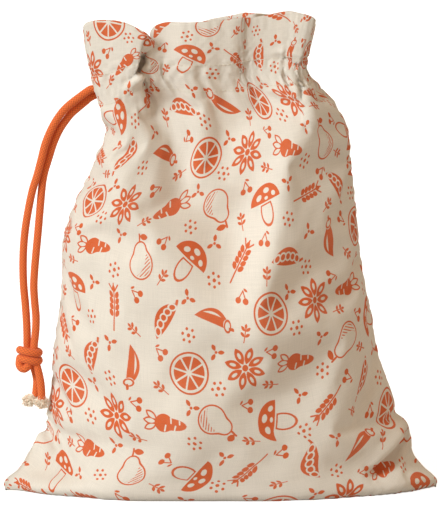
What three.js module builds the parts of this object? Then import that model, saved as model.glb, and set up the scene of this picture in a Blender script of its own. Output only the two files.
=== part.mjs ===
// A cotton drawstring bag for dry food, filled, standing on its base with the neck drawn in.
// Millimetres, +Z up. The shown face looks along -Y, the cord leaves the neck on the -X side.
import * as THREE from 'three';

// The cloth body
const RIM_HEIGHT = 270; // top edge of the frill above the drawstring
const RIM_LIFT = 6; // how much higher the frill stands on the right
const COLUMNS = 88; // facets round the body
const RIM_WALL = 4.5; // width of the folded cloth edge on top of the frill
const DIP_DEPTH = 4; // dip between the front and the back of the frill, whose neck is shut
const EDGE_FADE = 14; // folds die out over this depth of cloth at the side seams
const EAR_FORWARD = 8; // the corner ears lie towards the front

// The cord
const CORD_DIAMETER = 4.4;
const CORD_SIDES = 8;
const CORD_STEPS = 18;
const TAIL_STEPS = 4;
const TUFT_GAP = 0.6; // clearance under the tilted end of a tail

// The knot and the frayed ends
const KNOT_CENTRE = [-109.2, -9.6, 74.2];
const KNOT_WIDTH = 15.2;
const KNOT_HEIGHT = 16.8;
const KNOT_DEPTH = 13.4;
const KNOT_TURN = 2.1; // how far each turn of cord bulges past the grooves
const TUFT_LENGTH = 7.6;
const TUFT_RADIUS = 3.4;
const TUFT_LOBES = 7;
const OUTER_LEAN = -2.2; // the frayed ends spread apart
const INNER_LEAN = 0.6;

// Height against distance from the middle: the side seams seen from the front
const LEFT_SEAM = [
  [0, 122.4], [3, 123.9], [7, 122.2], [12, 117.3], [19, 112.9], [27, 107.8], [34, 101.8], [44, 98.8],
  [58, 96.8], [72, 96.4], [112, 92.5], [150, 89.9], [166, 83], [180, 75.9], [192, 71], [199, 67.6],
  [206, 66.2], [213, 68], [222, 70.2], [228, 72], [233, 73.4], [242, 75.3], [252, 77.6], [272, 79.2],
];
const RIGHT_SEAM = [
  [0, 123.4], [3, 124.8], [9, 121.6], [12, 117.6], [21, 110.4], [28, 110], [34, 108.2], [40, 102.4],
  [46, 100.4], [62, 96.4], [80, 90.6], [98, 87.6], [128, 81.6], [164, 77.8], [190, 75], [208, 73],
  [220, 67], [232, 57], [241, 50], [250, 51.6], [262, 54.4], [272, 56],
];

// Height against half the thickness of the filled body
const BELLY = [
  [0, 47], [3, 52], [9, 57], [22, 59], [50, 60], [100, 60], [140, 57], [172, 50], [196, 42],
  [216, 33], [232, 25], [250, 26], [272, 28.5],
];

// Height against how pointed the outline is at the side seams: 1 is round, 2 is a lens
const POINT = [
  [0, 1.8], [10, 1.8], [26, 1.5], [46, 1.12], [70, 1], [215, 1], [236, 0.72], [272, 0.7],
];

const CORNER_FULLNESS = 2; // near the floor the filling reaches further into the left corner
const CORNER_HEIGHT = 40;
const EAR_THICKNESS = 3; // of the empty cloth corner beyond the filling

// Folds pressed into the cloth: a line on the face from one place to another, in X and Z.
// A positive depth is a hollow, a negative one a ridge.
const FRONT_FOLDS = [
  { from: [-42, 276], to: [-40, 238], width: 8, depth: 17 }, // valley left of the middle lobe
  { from: [-40, 238], to: [-58, 222], width: 8, depth: 7 }, // its foot runs into the neck
  { from: [19, 276], to: [14, 236], width: 9, depth: 14 }, // valley right of the middle lobe
  { from: [14, 236], to: [22, 214], width: 8, depth: 5 },
  { from: [22, 214], to: [5, 180], width: 8, depth: 5 },
  { from: [38, 242], to: [52, 226], width: 8, depth: 7 }, // pinch on the right of the neck
  { from: [48, 230], to: [50, 196], width: 9, depth: 6 },
  { from: [-28, 214], to: [-26, 118], width: 16, depth: 8 }, // broad hollow of the upper body
  { from: [-62, 214], to: [-64, 96], width: 8, depth: 4 }, // side facet on the left
  { from: [-48, 206], to: [-50, 110], width: 9, depth: -3 },
  { from: [16, 204], to: [22, 110], width: 14, depth: -3 }, // ridge right of the middle
  { from: [104, 33], to: [84, 20], width: 9, depth: 7 }, // crease of the right corner ear
  { from: [-99, 36], to: [-90, 20], width: 9, depth: 5 }, // crease of the left corner ear
];
const BACK_FOLDS = [
  { from: [-32, 276], to: [-29, 236], width: 9, depth: 15 },
  { from: [-29, 236], to: [-34, 190], width: 10, depth: 7 },
  { from: [22, 276], to: [20, 238], width: 9, depth: 14 },
  { from: [20, 238], to: [30, 186], width: 10, depth: 7 },
  { from: [0, 214], to: [-4, 128], width: 16, depth: 6 },
  { from: [-64, 206], to: [-58, 124], width: 10, depth: 5 },
  { from: [98, 34], to: [84, 20], width: 9, depth: 6 },
  { from: [-99, 36], to: [-86, 20], width: 9, depth: 6 },
];

// Rings of the body below the frill, closer together where the outline turns fastest
const RING_HEIGHTS = [
  0, 3, 9, 17, 26, 35, 44, 56, 70, 86, 102, 118, 134, 149, 163, 176, 188, 198, 207, 215, 222,
  228, 234, 239, 244, 251, 259,
];

// The route of each strand from the slit in the neck to the knot, then of its tail
const OUTER_ROUTE = [
  [-74.2, -0.8, 229], [-76, -0.9, 228.1], [-80.2, -1.3, 225.5], [-84.3, -1.6, 222.5],
  [-88.4, -1.9, 218.5], [-92.8, -2.3, 212.5], [-97.1, -3, 204.7], [-99.8, -3.6, 198],
  [-102, -4.3, 189.5], [-104.3, -5, 180.7], [-106.9, -5.7, 172.5], [-109.5, -6.4, 160.5],
  [-111.6, -7.1, 147], [-112.6, -7.8, 132], [-112.4, -8.4, 118], [-111.3, -8.9, 105],
  [-110.6, -9.2, 93], [-110.5, -8.9, 87], [-110.5, -8.6, 83.2],
];
const INNER_ROUTE = [
  [-72.4, 3.1, 225], [-74.5, 3, 224.2], [-77.7, 2.7, 222.3], [-81.8, 2.2, 218.9], [-85.4, 1.7, 215.4],
  [-89, 1.1, 211.4], [-92.2, 0.7, 207], [-94.8, 0.3, 201.6], [-98.4, -1, 188.4], [-100.1, -1.5, 182.6],
  [-101.3, -2.3, 177], [-102, -3.4, 170.8], [-103, -5.2, 159.4], [-104, -6.8, 148],
  [-105.1, -8, 136.5], [-106.1, -8.8, 125], [-106.5, -9.3, 116.4], [-106, -9.7, 107.7],
  [-105.3, -10.1, 99.1], [-105.6, -10.6, 90.4], [-106.4, -11.1, 83.2],
];
const OUTER_TAIL = [[-105.6, -7.6, 65.2], [-105.1, -7.7, 62], [-105.3, -8, 58], [-105.9, -8.5, 52.8]];
const INNER_TAIL = [
  [-103.4, -12.1, 65.2], [-102.8, -12.2, 62], [-102.4, -12.3, 58], [-102.2, -12.4, 51.6],
];

const COTTON = 0xeee4d0;
const ORANGE = 0xcd5d33;
const FRAYED = 0xf0d3b4;

// A smooth value between named stops, each a place and its value.
function along(stops, place) {
  const last = stops.length - 1;
  if (place <= stops[0][0]) return stops[0][1];
  if (place >= stops[last][0]) return stops[last][1];
  const i = stops.findIndex((stop) => stop[0] > place) - 1;
  const slope = (j) => {
    const [a, b] = [stops[Math.max(j - 1, 0)], stops[Math.min(j + 1, last)]];
    return (b[1] - a[1]) / (b[0] - a[0]);
  };
  const [x0, y0] = stops[i];
  const [x1, y1] = stops[i + 1];
  const span = x1 - x0;
  const t = (place - x0) / span;
  const bend0 = (y1 - y0 - slope(i) * span) * t * (1 - t) * (1 - t);
  const bend1 = (y1 - y0 - slope(i + 1) * span) * t * t * (1 - t);
  return y0 + (y1 - y0) * t - bend0 + bend1;
}

function distanceToFold(x, z, fold) {
  const [ax, az] = fold.from;
  const [bx, bz] = fold.to;
  const [dx, dz] = [bx - ax, bz - az];
  const t = THREE.MathUtils.clamp(((x - ax) * dx + (z - az) * dz) / (dx * dx + dz * dz), 0, 1);
  return Math.hypot(x - ax - t * dx, z - az - t * dz);
}

// How far a face moves towards the middle of the bag at a place on it.
function foldDepth(x, z, folds) {
  let depth = 0;
  for (const fold of folds) {
    depth += fold.depth * Math.exp(-((distanceToFold(x, z, fold) / fold.width) ** 2));
  }
  return depth;
}

// A point of the cloth at a height: turn goes round the bag from the right seam over the back.
function clothPoint(turn, height) {
  const side = Math.sin(turn) < 0 ? -1 : 1;
  const swing = Math.acos(Math.cos(turn)) / Math.PI;
  const point = along(POINT, height);
  const even = THREE.MathUtils.clamp((point - 1) / 1.5, 0, 1) * 0.6;
  const across = (1 - even) * Math.cos(turn) + even * (1 - 2 * swing);
  const x = across * along(across < 0 ? LEFT_SEAM : RIGHT_SEAM, height);
  const corner = across < 0 ? 1 - THREE.MathUtils.smoothstep(height, 6, CORNER_HEIGHT) : 0;
  const edge = Math.abs(across * (1 + 0.1 * corner)) ** (2 + CORNER_FULLNESS * corner);
  const filled = along(BELLY, height) * Math.pow(Math.max(0, 1 - edge), point / 2);
  const full = Math.max(filled, EAR_THICKNESS / 2 * Math.sqrt(Math.max(0, 1 - across * across)));
  const fade = Math.min(1, full / EDGE_FADE);
  const fold = foldDepth(x, height, side < 0 ? FRONT_FOLDS : BACK_FOLDS) * fade;
  const low = 1 - THREE.MathUtils.smoothstep(height, 0, 40);
  const ear = THREE.MathUtils.smoothstep(Math.abs(x), 85, 124) * low;
  return new THREE.Vector3(x, side * Math.max(full - fold, full * 0.3) - EAR_FORWARD * ear, height);
}

// The frill's edge: it stands higher on the right.
function rimHeight(x) {
  return RIM_HEIGHT + RIM_LIFT * THREE.MathUtils.smoothstep(x, -10, 25);
}

// A point of the frill's edge: its outer side (stage 0), its inner side (1) or the middle of the dip (2).
function frillPoint(turn, stage) {
  const place = clothPoint(turn, RIM_HEIGHT);
  const reach = along(place.x < 0 ? LEFT_SEAM : RIGHT_SEAM, RIM_HEIGHT);
  const inset = Math.min(RIM_WALL, Math.abs(place.y) / 2);
  place.z = rimHeight(place.x) - (stage === 2 ? DIP_DEPTH : 0);
  place.y = stage === 2 ? 0 : place.y - Math.sign(place.y) * inset * stage;
  place.x -= stage * RIM_WALL * (place.x / reach) ** 3;
  return place;
}

// The body is a lathed stack of rings, from the middle of the base up to the frill, whose points are
// then moved to the outline. The last ring is drawn to a line, where the front meets the back.
function bagGeometry() {
  const rings = RING_HEIGHTS.length;
  const profile = [new THREE.Vector2(0, 0)];
  for (let step = 1; step <= rings + 3; step += 1) {
    profile.push(new THREE.Vector2(1, step));
  }
  const geometry = new THREE.LatheGeometry(profile, COLUMNS);
  geometry.rotateX(Math.PI / 2);
  const position = geometry.attributes.position;
  for (let i = 0; i < position.count; i += 1) {
    const step = Math.round(position.getZ(i));
    const turn = Math.atan2(position.getY(i), position.getX(i));
    let place = new THREE.Vector3();
    if (step > rings) place = frillPoint(turn, step - rings - 1);
    else if (step > 0) place = clothPoint(turn, RING_HEIGHTS[step - 1]);
    position.setXYZ(i, place.x, place.y, place.z);
  }
  geometry.computeVertexNormals();
  return geometry;
}

function tube(points, steps) {
  const section = new THREE.Shape();
  section.absarc(0, 0, CORD_DIAMETER / 2, 0, Math.PI * 2);
  const route = new THREE.CatmullRomCurve3(points.map((point) => new THREE.Vector3(...point)));
  return new THREE.ExtrudeGeometry(section, {
    steps, curveSegments: CORD_SIDES, bevelEnabled: false, extrudePath: route,
  });
}

// The knot's outline: two turns of cord side by side above a tucked-in bight.
function knotGeometry() {
  const half = KNOT_HEIGHT / 2;
  const profile = [new THREE.Vector2(0, -half)];
  for (let i = 1; i < 16; i += 1) {
    const t = i / 16;
    const body = Math.sin(Math.PI * t) ** 0.45;
    const turns = Math.abs(Math.sin(3 * Math.PI * t));
    profile.push(new THREE.Vector2(body * (KNOT_WIDTH / 2 - KNOT_TURN * (1 - turns)), (2 * t - 1) * half));
  }
  profile.push(new THREE.Vector2(0, half));
  const geometry = new THREE.LatheGeometry(profile, 20);
  geometry.rotateX(Math.PI / 2);
  geometry.scale(1, KNOT_DEPTH / KNOT_WIDTH, 1);
  return geometry;
}

// A frayed end: a ragged little brush that widens away from the cord.
function tuftGeometry() {
  const profile = [
    new THREE.Vector2(0, -TUFT_LENGTH),
    new THREE.Vector2(TUFT_RADIUS * 0.7, -TUFT_LENGTH),
    new THREE.Vector2(TUFT_RADIUS, -TUFT_LENGTH * 0.72),
    new THREE.Vector2(TUFT_RADIUS * 0.86, -TUFT_LENGTH * 0.3),
    new THREE.Vector2(CORD_DIAMETER / 2, 0),
    new THREE.Vector2(0, 0),
  ];
  const geometry = new THREE.LatheGeometry(profile, 2 * TUFT_LOBES);
  geometry.rotateX(Math.PI / 2);
  return geometry;
}

function material(color, roughness) {
  return new THREE.MeshStandardMaterial({ color, roughness, metalness: 0 });
}

const bag = new THREE.Group();
const cotton = material(COTTON, 0.95);
const orange = material(ORANGE, 0.9);
const frayed = material(FRAYED, 0.95);

function add(name, geometry, finish, place = [0, 0, 0]) {
  const mesh = new THREE.Mesh(geometry, finish);
  mesh.name = name;
  mesh.position.set(...place);
  bag.add(mesh);
}

// A frayed end hangs just below the last point of its tail, a little to one side.
function below(points, lean) {
  const [x, y, z] = points[points.length - 1];
  return [x + lean, y, z - TUFT_GAP];
}

add('bag', bagGeometry(), cotton);
add('cord_outer', tube(OUTER_ROUTE, CORD_STEPS), orange);
add('cord_inner', tube(INNER_ROUTE, CORD_STEPS), orange);
add('knot', knotGeometry(), orange, KNOT_CENTRE);
add('tail_outer', tube(OUTER_TAIL, TAIL_STEPS), orange);
add('tail_inner', tube(INNER_TAIL, TAIL_STEPS), orange);
add('tuft_outer', tuftGeometry(), frayed, below(OUTER_TAIL, OUTER_LEAN));
add('tuft_inner', tuftGeometry(), frayed, below(INNER_TAIL, INNER_LEAN));

export default bag;
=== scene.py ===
"""A filled cotton drawstring bag for dry food: sewn printed cloth, a gathered frill and a knotted cord."""
import math

import bmesh
import bpy
import numpy as np
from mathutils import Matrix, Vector


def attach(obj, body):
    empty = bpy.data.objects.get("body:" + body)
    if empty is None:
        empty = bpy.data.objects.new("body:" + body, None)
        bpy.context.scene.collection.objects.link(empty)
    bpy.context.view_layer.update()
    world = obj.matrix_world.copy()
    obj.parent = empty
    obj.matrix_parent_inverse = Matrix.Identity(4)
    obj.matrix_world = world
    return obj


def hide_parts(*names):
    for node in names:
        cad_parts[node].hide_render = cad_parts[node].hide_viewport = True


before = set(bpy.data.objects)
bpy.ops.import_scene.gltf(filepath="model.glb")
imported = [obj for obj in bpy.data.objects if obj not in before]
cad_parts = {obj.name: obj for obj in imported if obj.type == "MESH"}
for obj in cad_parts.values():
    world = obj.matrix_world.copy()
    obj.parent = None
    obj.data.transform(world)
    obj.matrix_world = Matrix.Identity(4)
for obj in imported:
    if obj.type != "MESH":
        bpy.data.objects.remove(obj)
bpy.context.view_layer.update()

MM = 0.001

# The cloth as cut: two faces sewn together at the sides and the bottom, with a folded top
FACE_WIDTH = 0.252
CLOTH_HEIGHT = 0.322
CLOTH_THICKNESS = 1.3 * MM  # the frill is two layers with a turned hem

# Squares of the cloth mesh
COLUMNS = 84  # across one face, an even number
BODY_ROWS = 92  # from the bottom seam to the channel
FRILL_ROWS = 13  # from the channel to the folded edge
CLOSING_ROWS = 6  # from the channel to where the neck is drawn shut
CLOTH_RISE = CLOTH_HEIGHT / (BODY_ROWS + FRILL_ROWS)
CHANNEL_LINE = BODY_ROWS * CLOTH_RISE  # how far up the cloth the middle of the channel is

# Sewing
STITCH_OFFSET = 8.5 * MM  # from the middle of the channel to each of its two rows of stitches
STITCH_PITCH = 3 * MM
STITCH_LENGTH = 2.2 * MM
STITCH_RADIUS = 0.2 * MM
# Each stitch from end to end: a share of its length from its middle, and thread radii above the cloth
STITCH_BOW = [(-0.5, -0.9), (-0.42, 0.7), (0, 0.9), (0.42, 0.7), (0.5, -0.9)]

# Relief of the settled cloth. Waves are counted once round the bag, or up it, from fewest to most.
GATHER_DEPTH = 0.6 * MM
GATHER_REACH = 15 * MM
GATHER_WAVES = (34, 70)
GATHER_DRIFT = 0.012  # how far a gather strays sideways away from the channel
GATHER_SHARPNESS = 0.3
GROOVE_DEPTH = 0.25 * MM  # along each row of stitches
GROOVE_WIDTH = 1.4 * MM
SEAM_DEPTH = 0.7 * MM
SEAM_WIDTH = 2.2 * MM
PUCKER_DEPTH = 0.13  # shares of the seam's depth
PUCKER_MIDDLE = 0.85
PUCKER_WAVES = (28, 50)
CONTENTS_DEPTH = 0.2 * MM  # the dry food inside shows as faint lumps
LUMP_WAVES_ROUND = (14, 34)
LUMP_WAVES_UP = (8, 20)
LUMP_WAVES_SLANTING = (10, 26)
LUMPS_BEGIN = (0.03, 0.08)  # metres up the cloth
LUMPS_END = (0.2, 0.25)

# How the cloth settles: Blender's cloth works best at about the size of a person
SETTLE_SCALE = 8
SETTLE_FRAMES = 30
CLOTH_BENDING = 4
SLACK_MOST = 0.2
SLACK_BODY = 0.03
SLACK_NECK = 0.07
SLACK_FRILL = 0.02
NECK_ROWS = (30, 6)  # the slack grows between these rows below the channel
HOLD_STIFFNESS = 1.0
HOLD_BODY = 0.08
HOLD_SEAM = 0.5
HOLD_BASE = 0.6
HOLD_BASE_ROWS = 14
HOLD_CHANNEL = 0.8
HOLD_CHANNEL_ROWS = 4
HOLD_CHANNEL_FLAT = 0.3  # the share of those rows next to the channel that are held in full
HOLD_FRILL = 0.6
FRILL_BEGINS = 2  # rows above the middle of the channel

# What is drawn back to its outline after settling. Pairs are where that begins to let go and where it has,
# in millimetres of height.
DRAWN_ROWS = 24  # rows below the channel that follow it
BASE_KEEPS_DEPTH = (8, 34)
BASE_KEEPS_HEIGHT = (6, 18)
SEAM_KEEPS_PLACE = (46, 70)
SEAM_PULL_COLUMNS = 15

# Millimetres of height against millimetres from the middle: the side seams seen from the front
LEFT_SEAM = [
    (0, 122.4), (3, 123.9), (7, 122.2), (12, 115.8), (19, 111.1), (27, 105.8), (30.5, 103.1), (34, 100.4),
    (38, 99), (44, 98.8), (58, 96.8), (72, 96.4), (112, 91.3), (150, 88.7), (166, 83), (180, 75.9),
    (192, 71), (199, 67.6), (206, 66.2), (213, 68), (222, 70.2), (228, 72), (233, 73.4), (242, 75.3),
    (252, 77.6), (272, 79.2),
]
RIGHT_SEAM = [
    (0, 123.6), (3.4, 125), (8.7, 121.2), (11.4, 118), (21.2, 110.4), (24.7, 109.8), (28.2, 110.1),
    (30.8, 109.3), (33.4, 108.7), (36.6, 107), (39.2, 104.2), (41.5, 101.2), (46, 100.4), (62, 96.4),
    (80, 90.6), (98, 87.6), (128, 81.6), (164, 77.8), (190, 75), (208, 73), (220, 67), (232, 57),
    (241, 50), (250, 51.6), (262, 54.4), (272, 56),
]
# Height against half the thickness of the filled body, then against how pointed it is at the seams
BELLY = [
    (0, 54), (3, 56.8), (9, 58.4), (22, 59.2), (50, 60), (100, 60), (140, 57), (172, 50), (196, 42),
    (216, 35), (232, 29), (272, 29),
]
POINT = [(0, 1.8), (10, 1.8), (26, 1.5), (46, 1.12), (70, 1), (272, 1)]
# Near the floor, for the left and the right: how much further the filling reaches out to the sides, and how
# much thinner the corners are past it, fading between two heights
CORNER_FULLNESS = (3, 1)
CORNER_POINT = (3.4, 0.4)
CORNER_HEIGHTS = (6, 40)
OUTLINE_POINTS = 400
FLOOR_ZONE = 12  # millimetres of height within which the outline turns fast
TALLEST = 250
FLOOR_POINTS = 12  # on each line of the underside, from the bottom seam to the wall
TURN_TO_CHANNEL = 9  # how late a wall turns to meet the gathered channel

# Where the gathered channel and the folded edge run: millimetres along the cloth from the left seam,
# then the place in X, Y and Z
CHANNEL_FRONT = [
    (0, -72.2, 0, 229), (14, -71, -9, 229), (30, -63.5, -15.5, 231), (43, -55.5, -20.5, 236),
    (52, -50, -23.5, 239.5), (58, -46.6, -23.5, 240.5), (63, -45.6, -17, 241), (68, -46, -12, 241),
    (77, -42.4, -16.5, 240),
    (88, -34.5, -19, 239.5), (97, -29, -18.5, 239), (108, -20.5, -23.5, 238), (120, -10, -24.5, 238),
    (133, 2, -24, 238), (145, 10.8, -22.5, 239), (153, 13, -21, 239.5), (161, 14.8, -19.4, 240),
    (170, 18.8, -18.9, 240.5), (181, 26, -19.5, 241), (192, 33.5, -20, 242), (203, 38.5, -20, 242.5),
    (213, 42.5, -20.5, 242), (226, 46.8, -19.5, 241), (240, 50.5, -13, 241), (252, 51, 0, 241),
]
EDGE_FRONT = [
    (0, -79, 0, 262.5), (14, -77, -8, 267.2), (30, -66, -14, 269.6), (44, -54, -18.5, 268.4),
    (54, -46, -21.5, 265), (61, -40.6, -22, 261.8), (66, -38.6, -15.5, 259), (73, -38.4, -9.5, 258.7),
    (81, -40, -9, 261.1), (89, -38, -10.5, 265.2), (97, -32, -12, 267.9), (108, -21, -17, 268.5),
    (115, -15, -18.5, 268.7), (121, -9, -19, 269), (135, 3, -18, 270), (146, 11.2, -17, 271),
    (154, 13.4, -15.6, 271.1), (162, 15, -14, 270.8), (170, 18.5, -12.7, 270.9), (183, 27, -11.5, 272.3),
    (196, 39, -11.5, 274.4), (209, 47, -13.5, 273.4), (223, 53, -14.5, 272), (238, 56.6, -11.5, 269.9),
    (252, 56, 0, 267),
]
CHANNEL_BACK = [
    (0, -72.2, 0, 229), (14, -71, 10, 230), (30, -61, 18, 233), (46, -47, 21, 236), (60, -36, 12, 238),
    (72, -31, 2, 240), (86, -25, 13, 239), (102, -13, 22, 238), (118, 0, 18, 238), (134, 10, 23, 239),
    (148, 18, 13, 240), (160, 22, 3, 241), (174, 28, 13, 241), (190, 37, 20, 242), (206, 45, 18, 242),
    (222, 50, 11, 241), (238, 52, 4, 241), (252, 51, 0, 241),
]
EDGE_BACK = [
    (0, -79, 0, 262.5), (16, -78, 14, 262), (34, -67, 24, 259), (52, -51, 26, 258), (66, -40, 16, 256),
    (78, -34, 4, 255), (90, -30, 15, 257), (104, -22, 25, 260), (122, -6, 27, 265.8), (138, 8, 23, 269),
    (150, 15, 14, 271.2), (160, 19, 5, 271.6), (172, 25, 14, 270.4), (188, 36, 23, 268), (206, 47, 23, 266),
    (224, 54, 14, 265), (240, 57, 7, 265.5), (252, 56, 0, 267),
]

# Folds pressed into a face: X and Z at one end and the other, width and depth, in millimetres.
# A positive depth is a hollow, a negative one a ridge. They fade where the bag is thinner, and at the floor.
FOLDS_NEED = 14  # half the thickness where they are whole
FOLDS_BEGIN = (4, 16)
FRONT_FOLDS = [
    ((8, 214), (2, 165), 30, 17),
    ((6, 158), (-2, 80), 19, 7),
    ((-34, 222), (-22, 176), 13, 10),
    ((-57, 212), (-58, 165), 10, -3),
    ((43, 226), (19, 100), 12, -7),
    ((-4, 104), (-18, 46), 18, -5),
    ((62, 206), (66, 120), 9, 2),
    ((37, 98), (12, 73), 16, -4),
    ((106, 28), (88, 14), 5, 6),
]
BACK_FOLDS = [
    ((0, 214), (-4, 128), 16, 6),
    ((-64, 206), (-58, 124), 10, 5),
    ((98, 34), (84, 20), 6, 5),
    ((-99, 36), (-86, 20), 6, 5),
]

# Sharp creases of the front, after it has settled: a line on the face in X and Z, then depth, width and
# how far the cloth on the left-hand side of the line stands over it, in millimetres
CREASES = [
    ([(-39.4, 263), (-41.9, 258), (-42.6, 252), (-42.9, 246), (-45, 241.8), (-49.3, 238.7), (-53.5, 235),
      (-58, 231)], 3.6, 1.4, 3.4),
    ([(-43, 242), (-41.5, 237), (-39.5, 232)], 1.8, 1.4, 0.6),
    ([(-32.5, 249), (-32.7, 243), (-31.5, 235)], 2.2, 1.4, 0.8),
    ([(9, 226), (10.8, 238), (11.4, 252), (11.6, 276)], 0.8, 2, 0.6),
    ([(31.5, 250.5), (37, 248), (42, 246), (46, 244)], 3.2, 1.8, 2.2),
    ([(34, 242), (37, 238), (39, 233), (41.4, 226)], 3, 1.6, 1.8),
    ([(46, 225), (46, 232), (45, 238)], 3, 1.6, 1.8),
    ([(42, 229), (45.5, 217), (52, 207)], 2.6, 2.6, 1.4),
    ([(86, 12), (92.5, 18), (99.5, 23.5), (105.5, 29), (109, 34)], 6.5, 1.5, 3),
    ([(-92, 21), (-96, 27), (-100, 32.5), (-104, 37)], 3.4, 2.2, 1.6),
]
CREASE_ENDS = 0.2  # the share of a crease over which it fades at each end
LIP_PLACE = 2  # from the line, in widths of the crease
LIP_WIDTH = 1.8
CREASES_NEED = 6  # how far in front of the middle the cloth lies where they are whole

# The side seam opens where the cord comes out
SLIT_HEIGHT = 226.5
SLIT_DEPTH = 5
SLIT_REACH = 5  # half its height
SLIT_WIDTH = 3.6

# The inside of the frill, down to where the neck is drawn shut
FOLD_ROUNDNESS = 0.45  # how far the folded edge stands up, in thicknesses of the cloth
SHUT_DROP = 9 * MM
SHUT_WIDTH = 0.9  # a share of the neck's width

# The cord: both ends of one drawstring leave the left seam side by side and meet in a knot.
# Each route starts inside the channel, runs to the knot, through it and on to its frayed end.
CORD_DIAMETER = 4.4 * MM
OUTER_ROUTE = [
    (-74.2, -0.8, 229), (-75.9, -0.9, 227.9), (-79.9, -1.3, 225), (-83.9, -1.6, 222),
    (-88.2, -1.9, 218.3), (-92.8, -2.3, 212.5), (-97.1, -3, 204.7), (-99.8, -3.6, 198),
    (-102, -4.3, 189.5), (-104.3, -5, 180.7), (-106.9, -5.7, 172.5), (-109.5, -6.4, 160.5),
    (-111.6, -7.1, 147), (-112.6, -7.8, 132), (-112.4, -8.4, 118), (-111.3, -8.9, 105),
    (-110.6, -9.2, 93), (-110.5, -8.9, 87), (-110.5, -8.6, 83.2),
]
INNER_ROUTE = [
    (-72.4, 3.1, 225), (-74.4, 3, 223.9), (-77.4, 2.7, 221.4), (-81.4, 2.1, 218.1), (-85.1, 1.5, 214.9),
    (-88.4, 0.8, 210.8), (-91.3, 0.3, 206.5), (-93.9, 0, 201.3), (-98.3, -1, 188.4),
    (-100.1, -1.5, 182.6), (-101.3, -2.3, 177), (-102, -3.4, 170.8), (-103, -5.2, 159.4),
    (-104, -6.8, 148), (-105.1, -8, 136.5), (-106.1, -8.8, 125), (-106.5, -9.3, 116.4),
    (-106, -9.7, 107.7), (-105.3, -10.1, 99.1), (-105.6, -10.6, 90.4), (-106.4, -11.1, 83.2),
]
OUTER_TAIL = [
    (-105.6, -7.6, 65.2), (-105.1, -7.7, 62), (-105.3, -8, 58), (-105.9, -8.5, 52.8),
]
INNER_TAIL = [
    (-103.4, -12.1, 65.2), (-102.8, -12.2, 62), (-102.4, -12.3, 58), (-102.2, -12.4, 51.6),
]
# Where each strand starts inside the channel, and where it runs inside the knot
OUTER_START = (-69, -0.6, 229.4)
INNER_START = (-67.4, 3.2, 226.4)
OUTER_IN_KNOT = [(-109.6, -8.6, 78.3), (-107.4, -8, 71.5)]
INNER_IN_KNOT = [(-106.6, -11, 77.5), (-105, -11.6, 71.5)]
BRAID_STRANDS = 8  # carriers of the braid in each direction
BRAID_PITCH = 15 * MM  # length in which a strand goes once round the cord
BRAID_RELIEF = 0.16 * MM
BRAID_MEAN = 0.6  # the yarns' mean height, which lies at the cord's radius
CORD_SIDES = 48
CORD_STEP = 0.36 * MM
ROUTE_POINTS = 2000  # on which a route's length is measured

# The knot: one and a half turns round both strands, twice across their front,
# then a small bight below on the left
KNOT_CENTRE = (-109.2, -9.6)
KNOT_REACH = (5.4, 4.4)
KNOT_TOP = 80.5
KNOT_DROP = 4.75  # from one turn to the next
KNOT_TILT = 1.9  # how much higher the turns lie on the left
KNOT_HALF_TURNS = 3
KNOT_STOPS = 8  # in each half turn
KNOT_INSIDE = (1.5, 1.5, -0.5)  # where it starts, from its centre and its top
KNOT_SWELL = 1.04
BIGHT = [
    (-114.8, -11.2, 73.6), (-114.7, -12.3, 71.4), (-113.4, -13.2, 69.9), (-111.7, -13.7, 69.8),
    (-110.2, -13.3, 71), (-109.8, -12, 72.8), (-111, -10.8, 73.8), (-112.6, -9.8, 73),
]

# The frayed ends: curled locks of thread that fill a loose ball, among many fine fibres
OUTER_BALL = (-110.2, -9.2, 50)
INNER_BALL = (-102.2, -12.4, 49.4)
BALL_REACH = (5.2, 4.2, 4.4)
BALL_HOLLOW = 0.35  # how empty the middle of a ball is
LOCKS = 95
LOCK_SPREAD = 0.86
LOCK_RADIUS = 0.38 * MM
LOCK_CURL = 0.9 * MM
LOCK_TURNS = 2.2
FIBRES = 170
FIBRE_SPREAD = 1.1
FIBRE_RADIUS = 0.07 * MM
THREAD_STEPS = 20
THREAD_STRAY = 0.16  # how unevenly they start, in diameters of the cord
THREAD_INSET = 0.8  # how far up inside the cord's end they start

# The corner ears lie towards the front, more the further out and the lower they are. Pairs are millimetres.
LEFT_EAR_FORWARD = 19 * MM
RIGHT_EAR_FORWARD = 9 * MM
EAR_REACH = (72, 114)
EAR_HEIGHT = (4, 48)

# The print, in millimetres of flat cloth
LINE_WIDTH = 0.75
MOTIF_SCALE = 1.13
PRINT_PITCH_X = 31.5
PRINT_PITCH_Y = 28
PRINT_PLAY = 3  # the breadth in which the middle of a motif may lie
FILLER_PLAY = 1.0
MOTIF_TURN = 5  # radians from the most turned one way to the most turned the other
INK_EDGE = 0.14  # half the soft edge of the ink
FAR = 100  # further than any motif reaches

# Colours and finishes
INK_WEAR = 0.25  # how much ink the cloth has lost where it is fluffy
COTTON = (0.812, 0.745, 0.664)
INK = (0.69, 0.105, 0.009)
THREAD = (0.8, 0.73, 0.62)
THREAD_DARK = (0.7, 0.62, 0.5)
# The cord's own colour, and a darker copy of it that paints shade into the hollows between the braid's yarns
CORD_COLOUR = (0.86, 0.175, 0.036)
CORD_PAINTED_SHADE = (0.5, 0.07, 0.012)
FRAYED = (0.95, 0.87, 0.74)
FRAYED_ORANGE = (0.82, 0.42, 0.22)

SHEEN_ROUGHNESS = 0.45
YARN_ROUNDNESS = 0.8
YARN_LOW = 0.55  # how high a yarn still stands where it dives under the next
YARN_RISE = 0.45

# The camera
VIEW_ELEVATION = math.radians(8)
VIEW_DISTANCE = 3.0
VIEW_HEIGHT = 0.135
FRAME_HEIGHT = 0.2895  # what the picture takes in, at the bag
SENSOR = 36.0

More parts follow.
